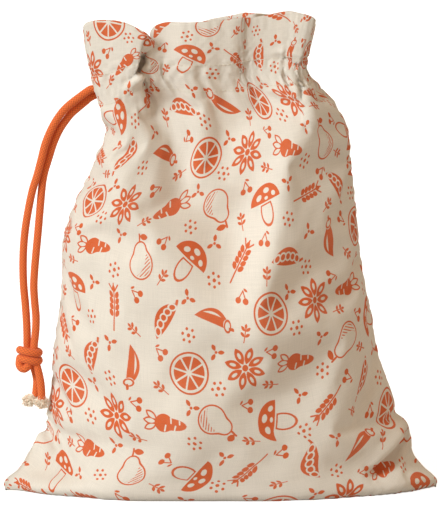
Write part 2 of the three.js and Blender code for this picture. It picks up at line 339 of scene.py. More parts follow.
# The studio: an even warm fill, a soft key light from the left in front, and a floor that looks white
FILL_COLOUR = (1, 0.79, 0.57)
FILL_STRENGTH = 0.61
KEY_COLOUR = (0.86, 0.96, 1)
KEY_STRENGTH = 2.5
KEY_ANGLE = 22
KEY_DIRECTION = (0.77, 0.64, -0.55)
FLOOR_ALBEDO = 0.6
FLOOR_WHITE = 0.8  # the floor's own glow, as far as the eye sees it
FLOOR_SIZE = 60


def along(stops, place):
    """Smooth values between stops, each a place followed by one or more values."""
    table = np.array(stops, float)
    places, values = table[:, 0], table[:, 1:]
    slopes = np.gradient(values, places, axis=0)
    place = np.clip(np.asarray(place, float), places[0], places[-1])
    i = np.clip(np.searchsorted(places, place, side="right") - 1, 0, len(places) - 2)
    span = (places[i + 1] - places[i])[..., None]
    t = (place - places[i])[..., None] / span
    start = (2 * t**3 - 3 * t**2 + 1) * values[i] + (t**3 - 2 * t**2 + t) * span * slopes[i]
    end = (3 * t**2 - 2 * t**3) * values[i + 1] + (t**3 - t**2) * span * slopes[i + 1]
    return start + end


def smooth(low, high, value):
    """From 0 at the low end to 1 at the high one, level at both."""
    t = np.clip((value - low) / (high - low), 0, 1)
    return t * t * (3 - 2 * t)


def evenly(points, count):
    """The same line, as count points an equal distance apart."""
    steps = np.linalg.norm(np.diff(points, axis=0), axis=1)
    run = np.concatenate([[0], np.cumsum(steps)])
    wanted = np.linspace(0, run[-1], count)
    return np.stack([np.interp(wanted, run, points[:, i]) for i in range(points.shape[1])], axis=1)


def body_outline(height):
    """Half the bag's outline at a height in millimetres, from the left seam to the right: X and thickness."""
    across = -np.cos(np.linspace(0, math.pi, OUTLINE_POINTS))
    left = along(LEFT_SEAM, height)[0]
    right = along(RIGHT_SEAM, height)[0]
    x = across * np.where(across < 0, left, right)
    near_floor = 1 - smooth(*CORNER_HEIGHTS, height)
    edge = np.abs(across) ** (2 + near_floor * np.where(across < 0, *CORNER_FULLNESS))
    pointed = along(POINT, height)[0] + near_floor * np.where(across < 0, *CORNER_POINT)
    thick = along(BELLY, height)[0] * np.maximum(0, 1 - edge) ** (pointed / 2)
    return evenly(np.stack([x, thick], axis=1), COLUMNS + 1)


def face_points(side, channel, edge, folds):
    """One face of the bag as a grid of points, rows from the bottom seam to the folded edge, in metres."""
    cloth = np.linspace(0, FACE_WIDTH / MM, COLUMNS + 1)
    gathered = along(channel, cloth)
    heights = np.concatenate([np.arange(0, FLOOR_ZONE, 1.0), np.arange(FLOOR_ZONE, TALLEST, 2.0)])
    outlines = np.stack([body_outline(h) for h in heights])
    seam = np.linspace(-along(LEFT_SEAM, 0)[0], along(RIGHT_SEAM, 0)[0], COLUMNS + 1)
    rows = np.zeros((BODY_ROWS + 1, COLUMNS + 1, 3))
    for k in range(COLUMNS + 1):
        top = gathered[k, 2]
        up = np.append(heights[heights < top - 0.5], top)
        wall_x = np.interp(up, heights, outlines[:, k, 0])
        wall_y = np.interp(up, heights, outlines[:, k, 1])
        wall = np.stack([wall_x, side * wall_y, up], axis=1)
        underside = np.linspace([seam[k], 0, 0], wall[0], FLOOR_POINTS)[:-1]
        rows[:, k] = evenly(np.concatenate([underside, wall]), BODY_ROWS + 1)
    pull = np.linspace(0, 1, BODY_ROWS + 1) ** TURN_TO_CHANNEL
    rows += pull[:, None, None] * (gathered - rows[-1])[None]
    rise = np.linspace(0, 1, FRILL_ROWS + 1)[1:, None, None]
    frill = gathered[None] + (along(edge, cloth) - gathered)[None] * rise
    points = np.concatenate([rows, frill])
    push_folds(points, side, folds)
    return points * MM


def push_folds(points, side, folds):
    """Presses the folds into a face, less where it is thin."""
    fade = np.clip(np.abs(points[..., 1]) / FOLDS_NEED, 0, 1) * smooth(*FOLDS_BEGIN, points[..., 2])
    for (x0, z0), (x1, z1), width, depth in folds:
        reach = np.array([x1 - x0, z1 - z0])
        away = points[..., [0, 2]] - (x0, z0)
        t = np.clip(away @ reach / (reach @ reach), 0, 1)
        distance = np.linalg.norm(away - t[..., None] * reach, axis=-1)
        points[..., 1] -= side * depth * np.exp(-((distance / width) ** 2)) * fade


def cloth_grid():
    """The outer cloth all round: rows of points from the left seam over the front and back again."""
    front = face_points(-1, CHANNEL_FRONT, EDGE_FRONT, FRONT_FOLDS)
    back = face_points(1, CHANNEL_BACK, EDGE_BACK, BACK_FOLDS)
    return np.concatenate([front, back[:, ::-1][:, 1:]], axis=1)


def finer(points):
    """The same cloth with a point between every two, on smooth curves through them."""
    down = np.concatenate([2 * points[:1] - points[1:2], points, 2 * points[-1:] - points[-2:-1]])
    rows = np.empty((2 * len(points) - 1, *points.shape[1:]))
    rows[::2] = points
    rows[1::2] = (9 * (down[1:-2] + down[2:-1]) - down[:-3] - down[3:]) / 16
    around = np.concatenate([rows[:, -2:-1], rows, rows[:, 1:2]], axis=1)
    cloth = np.empty((len(rows), 2 * points.shape[1] - 1, 3))
    cloth[:, ::2] = rows
    cloth[:, 1::2] = (9 * (around[:, 1:-2] + around[:, 2:-1]) - around[:, :-3] - around[:, 3:]) / 16
    return cloth


def outward(points):
    """The outward direction at each point of the cloth."""
    around = np.roll(points[:, :-1], -1, axis=1) - np.roll(points[:, :-1], 1, axis=1)
    normal = np.cross(around, np.gradient(points[:, :-1], axis=0))
    normal /= np.linalg.norm(normal, axis=2, keepdims=True) + 1e-12
    return np.concatenate([normal, normal[:, :1]], axis=1)


def ripples(rng, place, around, low, high):
    """An uneven ripple over a length that closes on itself, made of waves between two counts."""
    total = 0
    for count in range(low, high):
        wave = 2 * math.pi * count * place / around + rng.uniform(0, 2 * math.pi)
        total = total + rng.uniform(0.3, 1) * np.sin(wave)
    return total / math.sqrt(high - low)


def sewing_relief(rows, columns):
    """How far the cloth stands out at each point of its grid: gathers, stitched grooves, seams and the lumps
    of what is inside."""
    rng = np.random.default_rng(7)
    round_bag = 2 * FACE_WIDTH
    across = np.linspace(0, round_bag, columns + 1)[None, :]
    up = np.linspace(0, CLOTH_HEIGHT, rows + 1)[:, None]
    from_channel = up - CHANNEL_LINE
    drift = GATHER_DRIFT * smooth(0, 0.1, np.abs(from_channel)) * np.sign(from_channel)
    gather = ripples(rng, across + drift, round_bag, *GATHER_WAVES)
    gather = gather - GATHER_SHARPNESS * gather**2
    relief = GATHER_DEPTH * gather * np.exp(-((from_channel / GATHER_REACH) ** 2))
    for side in (-1, 1):
        from_stitches = from_channel - side * STITCH_OFFSET
        relief = relief - GROOVE_DEPTH * np.exp(-((from_stitches / GROOVE_WIDTH) ** 2))
    to_seam = np.abs((across + FACE_WIDTH / 2) % FACE_WIDTH - FACE_WIDTH / 2)
    puckers = ripples(rng, up + 0.2 * to_seam, CLOTH_HEIGHT, *PUCKER_WAVES)
    puckers = PUCKER_MIDDLE + PUCKER_DEPTH * puckers
    relief = relief - SEAM_DEPTH * puckers * np.exp(-((to_seam / SEAM_WIDTH) ** 2))
    lumps = ripples(rng, across, round_bag, *LUMP_WAVES_ROUND)
    lumps = lumps * ripples(rng, up, CLOTH_HEIGHT, *LUMP_WAVES_UP)
    lumps = lumps + 0.6 * ripples(rng, across + 0.6 * up, round_bag, *LUMP_WAVES_SLANTING)
    return relief + CONTENTS_DEPTH * lumps * smooth(*LUMPS_BEGIN, up) * (1 - smooth(*LUMPS_END, up))


def crease_relief(points):
    """How far the sharp creases of the front move the cloth outwards."""
    place = points[..., [0, 2]] / MM
    raised = np.zeros(points.shape[:2])
    sunken = np.zeros(points.shape[:2])
    for stops, depth, width, lip in CREASES:
        line = np.array(stops, float)
        steps = np.linalg.norm(np.diff(line, axis=0), axis=1)
        nearest = np.full(points.shape[:2], np.inf)
        side = np.zeros(points.shape[:2])
        share = np.zeros(points.shape[:2])
        for i, (start, end) in enumerate(zip(line[:-1], line[1:])):
            reach = end - start
            away = place - start
            t = np.clip(away @ reach / (reach @ reach), 0, 1)
            distance = np.linalg.norm(away - t[..., None] * reach, axis=-1)
            cross = reach[0] * away[..., 1] - reach[1] * away[..., 0]
            closer = distance < nearest
            nearest = np.where(closer, distance, nearest)
            side = np.where(closer, np.sign(cross), side)
            share = np.where(closer, (steps[:i].sum() + t * steps[i]) / steps.sum(), share)
        fade = smooth(0, CREASE_ENDS, share) * (1 - smooth(1 - CREASE_ENDS, 1, share))
        crest = np.exp(-(((side * nearest - LIP_PLACE * width) / (LIP_WIDTH * width)) ** 2))
        raised = np.maximum(raised, fade * lip * crest)
        sunken = np.maximum(sunken, fade * depth * np.exp(-nearest / width))
    on_front = smooth(0, CREASES_NEED, -points[..., 1] / MM)
    return (raised - sunken) * on_front * MM


def open_slit(points):
    """Draws the left seam in where the cord comes out of the channel."""
    column = np.arange(points.shape[1])
    from_seam = np.minimum(column, points.shape[1] - 1 - column) * 2 * FACE_WIDTH / (points.shape[1] - 1)
    near = np.exp(-((from_seam / (SLIT_WIDTH * MM)) ** 2))[None, :]
    height = np.exp(-(((points[..., 2] / MM - SLIT_HEIGHT) / SLIT_REACH) ** 2))
    points[..., 0] += SLIT_DEPTH * MM * near * height
    return points


def inner_grid(outer, neck_row):
    """The inside of the frill, from its folded edge down to where the neck is drawn shut."""
    frill = outer[neck_row - 1:]
    normal = outward(frill)
    lining = frill - normal * CLOTH_THICKNESS
    edge = outer[-1] - 0.5 * normal[-1] * CLOTH_THICKNESS
    edge[:, 2] += FOLD_ROUNDNESS * CLOTH_THICKNESS
    down = lining[:0:-1]
    shut = 0.5 * (down[-1] + down[-1, ::-1])
    shut[:, 0] *= SHUT_WIDTH
    shut[:, 1] = 0
    shut[:, 2] -= SHUT_DROP
    closing = [down[-1] + (shut - down[-1]) * (i / CLOSING_ROWS) for i in range(1, CLOSING_ROWS + 1)]
    return np.concatenate([edge[None], down, np.array(closing)])


def laid_grid(bm, points, flat_place):
    """A mesh of squares through a grid of points, each with its flat place as UV. Gives its vertices."""
    rows, columns = points.shape[0] - 1, points.shape[1] - 1
    uv = bm.loops.layers.uv.new("UVMap")
    bmesh.ops.create_grid(bm, x_segments=columns, y_segments=rows, size=0.5)
    grid = np.empty((rows + 1, columns + 1), object)
    for vert in bm.verts:
        column = round((vert.co.x + 0.5) * columns)
        row = round((vert.co.y + 0.5) * rows)
        for loop in vert.link_loops:
            loop[uv].uv = flat_place(row, column)
        vert.co = points[row, column]
        grid[row, column] = vert
    return grid


def smooth_mesh(name, bm):
    mesh = bpy.data.meshes.new(name)
    bm.to_mesh(mesh)
    bm.free()
    mesh.shade_smooth()
    return mesh


def sewn_mesh(name, points, rise, shut_top):
    """A mesh through a grid of points whose rows lie a rise apart on the flat cloth, which is its UV map,
    sewn at the left seam and the bottom, and at the last row too where that is shut. Gives the mesh and the
    number of each grid point's vertex."""
    rows, columns = points.shape[0] - 1, points.shape[1] - 1
    bm = bmesh.new()
    grid = laid_grid(bm, points, lambda row, column: (column / columns * 2 * FACE_WIDTH, row * rise))
    sewn = {grid[row, columns]: grid[row, 0] for row in range(rows + 1)}
    for row in [0, rows] if shut_top else [0]:
        for column in range(1, columns // 2):
            sewn[grid[row, columns - column]] = grid[row, column]
    bmesh.ops.weld_verts(bm, targetmap=sewn)
    bm.verts.index_update()
    place = np.array([[(sewn[v] if v in sewn else v).index for v in line] for line in grid])
    return smooth_mesh(name, bm), place


def new_object(name, mesh):
    piece = bpy.data.objects.new(name, mesh)
    bpy.context.scene.collection.objects.link(piece)
    return piece


def hold_and_slack(rows, columns):
    """How firmly each point of the cloth is held to the given shape, and how much spare cloth it has."""
    row = np.arange(rows + 1)[:, None]
    in_frill = row > BODY_ROWS + FRILL_BEGINS
    across = np.abs((np.arange(columns + 1) % (columns // 2)) / (columns // 2) - 0.5)[None, :] * 2
    hold = HOLD_BODY + (HOLD_SEAM - HOLD_BODY) * across**8
    hold = np.maximum(hold, HOLD_BASE * np.clip(1 - row / HOLD_BASE_ROWS, 0, 1))
    by_channel = np.clip(1 + HOLD_CHANNEL_FLAT - np.abs(row - BODY_ROWS) / HOLD_CHANNEL_ROWS, 0, 1)
    hold = np.where(in_frill, HOLD_FRILL, np.maximum(hold, HOLD_CHANNEL * by_channel))
    to_neck = smooth(BODY_ROWS - NECK_ROWS[0], BODY_ROWS - NECK_ROWS[1], row)
    slack = np.where(in_frill, SLACK_FRILL, SLACK_BODY + (SLACK_NECK - SLACK_BODY) * to_neck)
    return hold, np.broadcast_to(slack, hold.shape)


def add_cloth_simulation(piece):
    """Blender's Cloth on a piece whose vertex groups say where it is held and where it is taut."""
    modifier = piece.modifiers.new("Cloth", "CLOTH")
    settings = modifier.settings
    settings.quality = 6
    settings.mass = 0.3
    settings.air_damping = 3
    settings.tension_stiffness = 30
    settings.compression_stiffness = 15
    settings.shear_stiffness = 8
    settings.bending_stiffness = CLOTH_BENDING
    settings.bending_damping = 1
    settings.vertex_group_mass = "held"
    settings.pin_stiffness = HOLD_STIFFNESS
    settings.vertex_group_shrink = "taut"
    settings.shrink_min = -SLACK_MOST
    settings.shrink_max = 0
    settings.effector_weights.gravity = 0
    modifier.collision_settings.use_collision = False
    modifier.point_cache.frame_end = SETTLE_FRAMES


def settle(points):
    """Lets the sewn cloth find its own folds: a simulation that starts from the given shape, held softly
    to it, while every thread wants the length it was cut to."""
    mesh, place = sewn_mesh("settling_cloth", points * SETTLE_SCALE, CLOTH_RISE, False)
    cloth = new_object("settling_cloth", mesh)
    held = cloth.vertex_groups.new(name="held")
    taut = cloth.vertex_groups.new(name="taut")
    hold, slack = hold_and_slack(points.shape[0] - 1, points.shape[1] - 1)
    for index, value, spare in zip(place.ravel(), hold.ravel(), slack.ravel()):
        held.add([int(index)], float(value), "REPLACE")
        taut.add([int(index)], float(1 - spare / SLACK_MOST), "REPLACE")
    add_cloth_simulation(cloth)
    for frame_number in range(1, SETTLE_FRAMES + 1):
        bpy.context.scene.frame_set(frame_number)
    settled = cloth.evaluated_get(bpy.context.evaluated_depsgraph_get()).to_mesh()
    found = np.empty(len(settled.vertices) * 3)
    settled.vertices.foreach_get("co", found)
    bpy.data.objects.remove(cloth)
    bpy.data.meshes.remove(mesh)
    bpy.context.scene.frame_set(1)
    return found.reshape(-1, 3)[place] / SETTLE_SCALE


def fit_outline(points, cut):
    """Draws the channel, the folded edge and the side seams back to their outline, which the settling
    cloth pushes out a little, keeps the cloth above the floor, and brings the corner ears forward."""
    row = np.arange(len(points))[:, None]
    for line, low in ((BODY_ROWS, BODY_ROWS - DRAWN_ROWS), (len(points) - 1, BODY_ROWS)):
        gap = cut[line, :, 2] - points[line, :, 2]
        gap = np.convolve(np.pad(gap, 3, "edge"), np.ones(7) / 7, "valid")
        points[..., 2] += gap * smooth(low, line, row)
    points[..., 2] = np.maximum(points[..., 2], 0)
    x, z = points[..., 0], points[..., 2] / MM
    heights = np.arange(0, 265, 2.0)
    for side, seam in ((-1, LEFT_SEAM), (1, RIGHT_SEAM)):
        reach = np.array([np.max(side * x[np.abs(z - height) < 2.5]) for height in heights])
        wanted = along(seam, heights)[:, 0] * MM
        ratio = np.convolve(np.pad(wanted / reach, 1, "edge"), np.ones(3) / 3, "valid")
        near = np.clip(side * x / np.interp(z, heights, reach), 0, 1) ** 2
        x *= 1 + (np.interp(z, heights, ratio) - 1) * near
    points[..., 1] += (1 - smooth(*BASE_KEEPS_DEPTH, z)) * (cut[..., 1] - points[..., 1])
    points[..., 2] += (1 - smooth(*BASE_KEEPS_HEIGHT, z)) * (cut[..., 2] - points[..., 2])
    column = np.arange(points.shape[1])
    for side, seam, where in ((-1, LEFT_SEAM, 0), (1, RIGHT_SEAM, COLUMNS), (-1, LEFT_SEAM, 2 * COLUMNS)):
        wanted = side * along(seam, z[:, where])[:, 0] * MM + side * SEAM_DEPTH
        gap = (wanted - x[:, where]) * (1 - smooth(*SEAM_KEEPS_PLACE, z[:, where]))
        x += gap[:, None] * np.exp(-(((column - where) / SEAM_PULL_COLUMNS) ** 2))[None, :]
    ear = smooth(*EAR_REACH, np.abs(x) / MM) * (1 - smooth(*EAR_HEIGHT, z))
    points[..., 1] -= np.where(x < 0, LEFT_EAR_FORWARD, RIGHT_EAR_FORWARD) * ear
    return points


def smooth_route(points, step):
    """A line with points a step apart that runs smoothly through the given points, in metres."""
    stops = np.array(points, float) * MM
    run = np.concatenate([[0], np.cumsum(np.linalg.norm(np.diff(stops, axis=0), axis=1))])
    dense = along(np.column_stack([run, stops]), np.linspace(0, run[-1], ROUTE_POINTS))
    length = np.linalg.norm(np.diff(dense, axis=0), axis=1).sum()
    return evenly(dense, max(2, round(length / step) + 1)), length


def cross_directions(line):
    """Two directions square to a line at each of its points, carried along it without twisting."""
    tangents = np.gradient(line, axis=0)
    tangents /= np.linalg.norm(tangents, axis=1, keepdims=True)
    first = np.empty_like(line)
    side = np.cross(tangents[0], (0, 1, 0))
    for i, tangent in enumerate(tangents):
        side = side - tangent * (side @ tangent)
        side /= np.linalg.norm(side)
        first[i] = side
    return first, np.cross(tangents, first)


def braid_height(angle, run):
    """How far the yarn stands up at a place on a braided cord, from 0 to 1."""
    turn = angle / (2 * math.pi) * BRAID_STRANDS
    climb = run / BRAID_PITCH * BRAID_STRANDS
    one, other = turn + climb, turn - climb
    over = (np.floor(one) + np.floor(other)) % 2
    across = np.where(over == 0, one % 1, other % 1)
    lengthwise = np.where(over == 0, other % 1, one % 1)
    crown = YARN_LOW + YARN_RISE * np.sin(math.pi * lengthwise)
    return np.sin(math.pi * across) ** YARN_ROUNDNESS * crown


def cord_mesh(name, line, radius):
    """A closed cord along a line, with its own girth and length as UV map and its braid as relief."""
    first, second = cross_directions(line)
    run = np.concatenate([[0], np.cumsum(np.linalg.norm(np.diff(line, axis=0), axis=1))])
    angle = np.linspace(0, 2 * math.pi, CORD_SIDES + 1)
    reach = radius + BRAID_RELIEF * (braid_height(angle[None, :], run[:, None]) - BRAID_MEAN)
    ring = np.cos(angle)[None, :, None] * first[:, None] + np.sin(angle)[None, :, None] * second[:, None]
    points = line[:, None] + reach[..., None] * ring
    bm = bmesh.new()
    grid = laid_grid(
        bm, points, lambda row, column: (column / CORD_SIDES * 2 * math.pi * CORD_DIAMETER / 2, run[row]))
    bmesh.ops.weld_verts(bm, targetmap={line[CORD_SIDES]: line[0] for line in grid})
    bmesh.ops.holes_fill(bm, edges=[edge for edge in bm.edges if edge.is_boundary])
    bmesh.ops.recalc_face_normals(bm, faces=bm.faces)
    return smooth_mesh(name, bm)


def add_cord(name, start, route, in_knot, tail, nodes, material):
    line, length = smooth_route([start] + route + in_knot + tail, CORD_STEP)
    mesh = cord_mesh(name, line, CORD_DIAMETER / 2)
    mesh.materials.append(material)
    cord = new_object(name, mesh)
    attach(cord, "root")
    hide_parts(*nodes)


def knot_route():
    """The turns round the strands, from the right over the front, and the bight that follows them."""
    start = (KNOT_CENTRE[0] + KNOT_INSIDE[0], KNOT_CENTRE[1] + KNOT_INSIDE[1], KNOT_TOP + KNOT_INSIDE[2])
    turns = []
    for stop in range(KNOT_HALF_TURNS * KNOT_STOPS + 1):
        angle = stop / KNOT_STOPS * math.pi
        x = KNOT_CENTRE[0] + KNOT_REACH[0] * math.cos(angle)
        y = KNOT_CENTRE[1] - KNOT_REACH[1] * math.sin(angle)
        z = KNOT_TOP - KNOT_DROP * angle / (2 * math.pi) - KNOT_TILT * math.cos(angle)
        turns.append((x, y, z))
    return [start] + turns + BIGHT


def add_knot(material):
    line, _ = smooth_route(knot_route(), CORD_STEP)
    mesh = cord_mesh("knot_turns", line, CORD_DIAMETER / 2 * KNOT_SWELL)
    mesh.materials.append(material)
    knot = new_object("knot_turns", mesh)
    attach(knot, "root")
    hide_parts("knot")
    return knot


def thread_curve(name, radius, roundness):
    """A curve whose lines become threads of a radius, times the radius that each point has of its own."""
    curve = bpy.data.curves.new(name, "CURVE")
    curve.dimensions = "3D"
    curve.bevel_depth = radius
    curve.bevel_resolution = roundness
    curve.use_fill_caps = True
    return curve


def threads_from(name, curve, material):
    """The curve's threads as one mesh piece. The curve is used up."""
    lines = new_object(name, curve)
    mesh = bpy.data.meshes.new_from_object(lines.evaluated_get(bpy.context.evaluated_depsgraph_get()))
    mesh.name = name
    bpy.data.objects.remove(lines)
    bpy.data.curves.remove(curve)
    mesh.shade_smooth()
    mesh.materials.clear()
    mesh.materials.append(material)
    return new_object(name, mesh)


def curled_thread(rng, lock, end, ball):
    """One thread of a frayed end, a lock or a fine fibre: its points in metres, and its radius at each."""
    outwards = rng.normal(size=3)
    outwards /= np.linalg.norm(outwards)
    reach = np.array(BALL_REACH) * rng.uniform(BALL_HOLLOW, 1) ** 0.5
    reach = reach * (LOCK_SPREAD if lock else FIBRE_SPREAD)
    stray = rng.normal(size=3) * CORD_DIAMETER / MM * THREAD_STRAY
    start = np.array(end) + stray + np.array([0, 0, THREAD_INSET])
    goal = np.array(ball) + outwards * reach
    sag = np.cross(outwards, rng.normal(size=3))
    side = np.cross(goal - start, sag)
    side /= np.linalg.norm(side)
    other = np.cross(goal - start, side)
    other /= np.linalg.norm(other)
    radius = (LOCK_RADIUS if lock else FIBRE_RADIUS) * rng.uniform(0.75, 1.2)
    curl = LOCK_CURL * rng.uniform(0.6, 1.1)
    phase = rng.uniform(0, 2 * math.pi)
    turns = LOCK_TURNS * rng.uniform(0.6, 1.2)
    thread = []
    for i in range(THREAD_STEPS):
        t = i / (THREAD_STEPS - 1)
        swing = phase + 2 * math.pi * turns * t
        place = (start + (goal - start) * t ** 0.7 + sag * 0.8 * t * (1 - t)) * MM
        place = place + (side * math.cos(swing) + other * math.sin(swing)) * curl * math.sqrt(t)
        thread.append((place, radius * (1 - 0.3 * t if lock else 1 - 0.7 * t)))
    return thread


def add_tuft(name, end, ball, node, seed, material):
    """A frayed cord end: curled threads that run from the end of the cord into a ball and curl up there."""
    rng = np.random.default_rng(seed)
    curve = thread_curve(name, 1.0, 1)
    for number in range(LOCKS + FIBRES):
        spline = curve.splines.new("POLY")
        spline.points.add(THREAD_STEPS - 1)
        for point, (place, radius) in zip(spline.points, curled_thread(rng, number < LOCKS, end, ball)):
            point.co = (*place, 1)
            point.radius = radius
    tuft = threads_from(name, curve, material)
    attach(tuft, "root")
    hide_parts(node)
    return tuft


class Field:
    """A number that changes over a surface, worked out step by step with Math nodes."""

    def __init__(self, tree, socket):
        self.tree = tree
        self.socket = socket

    def math(self, operation, *others):
        node = self.tree.nodes.new("ShaderNodeMath")
        node.operation = operation
        self.tree.links.new(self.socket, node.inputs[0])
        for other, socket in zip(others, node.inputs[1:]):
            if isinstance(other, Field):
                self.tree.links.new(other.socket, socket)
            else:
                socket.default_value = other
        return Field(self.tree, node.outputs[0])

    def __add__(self, other):
        return self.math("ADD", other)

    def __sub__(self, other):
        return self.math("SUBTRACT", other)

    def __mul__(self, other):
        return self.math("MULTIPLY", other)

    def __neg__(self):
        return self.math("MULTIPLY", -1)

    def __abs__(self):
        return self.math("ABSOLUTE")

    def least(self, other):
        return self.math("MINIMUM", other)

    def most(self, other):
        return self.math("MAXIMUM", other)

    def joined(self, other, softness):
        """The nearer of two shapes, with the corner between them rounded."""
        return self.math("SMOOTH_MIN", other, softness)

    def line(self, width=LINE_WIDTH):
        """Only the outline of a shape."""
        return abs(self) - width / 2


class Place:
    """A place on the cloth, in millimetres, worked out with Vector Math nodes."""

    def __init__(self, tree, socket):
        self.tree = tree
        self.socket = socket

    def vector(self, operation, *others, output=0):
        node = self.tree.nodes.new("ShaderNodeVectorMath")
        node.operation = operation
        self.tree.links.new(self.socket, node.inputs[0])
        for other, socket in zip(others, node.inputs[1:]):
            if isinstance(other, (Field, Place)):
                self.tree.links.new(other.socket, socket)
            else:
                socket.default_value = other
        return node.outputs[output]

    def moved(self, x, y):
        return Place(self.tree, self.vector("SUBTRACT", (x, y, 0)))

    def times(self, x, y):
        return Place(self.tree, self.vector("MULTIPLY", (x, y, 1)))

    def turned(self, angle):
        """Turned about the middle: a number is degrees, a field is radians the other way round."""
        node = self.tree.nodes.new("ShaderNodeVectorRotate")
        node.rotation_type = "Z_AXIS"
        self.tree.links.new(self.socket, node.inputs["Vector"])
        if isinstance(angle, Field):
            self.tree.links.new(angle.socket, node.inputs["Angle"])
        else:
            node.inputs["Angle"].default_value = math.radians(-angle)
        return Place(self.tree, node.outputs[0])

    def parts(self):
        node = self.tree.nodes.new("ShaderNodeSeparateXYZ")
        self.tree.links.new(self.socket, node.inputs[0])
        return Field(self.tree, node.outputs[0]), Field(self.tree, node.outputs[1])

    def disc(self, x, y, radius):
        return Field(self.tree, self.vector("DISTANCE", (x, y, 0), output=1)) - radius

    def oval(self, x, y, half_width, half_height, lean=0):
        """An oval about a place, leaning over to the left by an angle."""
        small = min(half_width, half_height)
        spot = self.moved(x, y)
        if lean:
            spot = spot.turned(lean)
        spot = spot.times(1 / half_width, 1 / half_height)
        return (Field(spot.tree, spot.vector("LENGTH", output=1)) - 1) * small

    def leaf(self, x, y, length, width, lean=0):
        """A leaf with pointed ends about a place: what two discs have in common."""
        radius = (length**2 + width**2) / (4 * width)
        offset = radius - width / 2
        spot = self.moved(x, y)
        if lean:
            spot = spot.turned(lean)
        return spot.disc(offset, 0, radius).most(spot.disc(-offset, 0, radius))

    def stroke(self, x0, y0, x1, y1, width=LINE_WIDTH):
        """A straight line with round ends."""
        reach = Vector((x1 - x0, y1 - y0, 0))
        spot = self.moved(x0, y0)
        share = Field(self.tree, spot.vector("DOT_PRODUCT", reach / reach.length_squared, output=1))
        share = share.most(0).least(1)
        node = self.tree.nodes.new("ShaderNodeVectorMath")
        node.operation = "SCALE"
        node.inputs[0].default_value = reach
        self.tree.links.new(share.socket, node.inputs["Scale"])
        near = Place(self.tree, node.outputs[0])
        return Field(self.tree, spot.vector("DISTANCE", near, output=1)) - width / 2

    def mirrored(self):
        """The left half laid over the right half."""
        across, up = self.parts()
        return combined(self.tree, abs(across), up)

    def repeated(self, pitch, first, last):
        """Rows a pitch apart, counted from first to last, laid over each other."""
        across, up = self.parts()
        row = (up * (1 / pitch)).math("ROUND").most(first).least(last)
        return combined(self.tree, across, up - row * pitch)

    def bent(self, bend):
        """A shape bowed downwards at its left and right ends."""
        across, up = self.parts()
        return combined(self.tree, across, up + across * across * bend)

    def fanned(self, count):
        """Sectors round the middle laid over each other, each pointing right."""
        across, up = self.parts()
        angle = up.math("ARCTAN2", across)
        share = 2 * math.pi / count
        angle = angle - (angle * (1 / share)).math("ROUND") * share
        reach = Field(self.tree, self.vector("LENGTH", output=1))
        return combined(self.tree, reach * angle.math("COSINE"), reach * angle.math("SINE"))


def combined(tree, across, up):
    node = tree.nodes.new("ShaderNodeCombineXYZ")
    tree.links.new(across.socket, node.inputs[0])
    tree.links.new(up.socket, node.inputs[1])
    return Place(tree, node.outputs[0])


def wheat(place):
    """An ear of wheat: pairs of kernels up a stalk, and three awns."""
    half = place.moved(0, 0.2).mirrored()
    kernels = half.repeated(2.7, -1, 2).leaf(1.9, 0, 3.9, 2.3, -32)
    awns = half.stroke(0.9, 7.4, 2.8, 10).least(half.stroke(0, 6, 0, 10.4))
    return kernels.least(half.stroke(0, -10.6, 0, 6)).least(awns).least(half.leaf(0, 8.1, 3.8, 2.1))


def pea_pod(place):
    """An open pod with five peas and a curled stalk."""
    spot = place.moved(-0.5, -1).bent(0.028)
    pod = spot.turned(90).leaf(0, 0, 20, 8.2)
    peas = spot.turned(90).repeated(3.4, -2, 2)
    stalk = spot.stroke(9.4, 0, 11, 1.5, 1.1)
    return pod.most(-peas.disc(0, 0, 2.15)).least(peas.disc(0, 0, 1.35)).least(stalk)


def mushroom(place):
    """A capped mushroom with spots."""
    spot = place.moved(0, 1.2)
    _, up = spot.parts()
    cap = spot.oval(0, 0, 9.6, 8.6).most(-up)
    stem = spot.oval(0, -4.5, 3.6, 6.6).most(up + 1.1).line()
    spots = spot.oval(-4.2, 3.1, 1.8, 1.3, 30).least(spot.oval(1, 5.3, 2, 1.3, -10))
    spots = spots.least(spot.oval(5.6, 2.4, 1.5, 1.1, -40)).least(spot.oval(0.6, 1.7, 1.2, 0.8))
    return cap.most(-spots).least(stem)


def citrus(place):
    """A round slice with eight segments inside its rind."""
    spot = place.fanned(8)
    across, up = spot.parts()
    sine, cosine = 0.3827, 0.9239  # of half a sector
    side = across * -sine + abs(up) * cosine + 0.45
    segment = side.most(place.disc(0, 0, 7.7)).most(-across + 1.4)
    return segment.least(place.disc(0, 0, 9.4).line(0.9))


def carrot(place):
    """A carrot with short creases and three leaves."""
    root = place.oval(0, 0.9, 4.2, 4.2).joined(place.oval(0, -3.3, 2.7, 7.2), 2)
    creases = place.stroke(-3.4, 0, -0.9, -0.3).least(place.stroke(3, -2.4, 0.6, -2.8))
    creases = creases.least(place.stroke(-2.6, -4.8, -0.5, -5.1)).least(place.stroke(2, -6.8, 0.6, -7))
    leaves = place.mirrored().leaf(2.6, 7.2, 6, 2.6, -30).least(place.leaf(0, 7.5, 6.2, 2.8))
    return root.most(-creases).least(leaves.line())


def pear(place):
    """A pear with a stalk, a leaf and a curved highlight."""
    body = place.disc(0, -3.8, 6.6).joined(place.disc(0, 3.4, 3.4), 4.5)
    _, up = place.turned(24).parts()
    hatching = abs((up * (1 / 1.35)).math("FRACT") - 0.5) * 1.35 - 0.25
    shaded_side = (body + 1).most(-place.disc(-5.4, 0.6, 9)).most(hatching)
    stalk = place.stroke(0, 6.9, 0.8, 10.2, 1)
    return body.line().least(shaded_side).least(stalk).least(place.leaf(3.3, 8.3, 5.4, 2.9, 68))


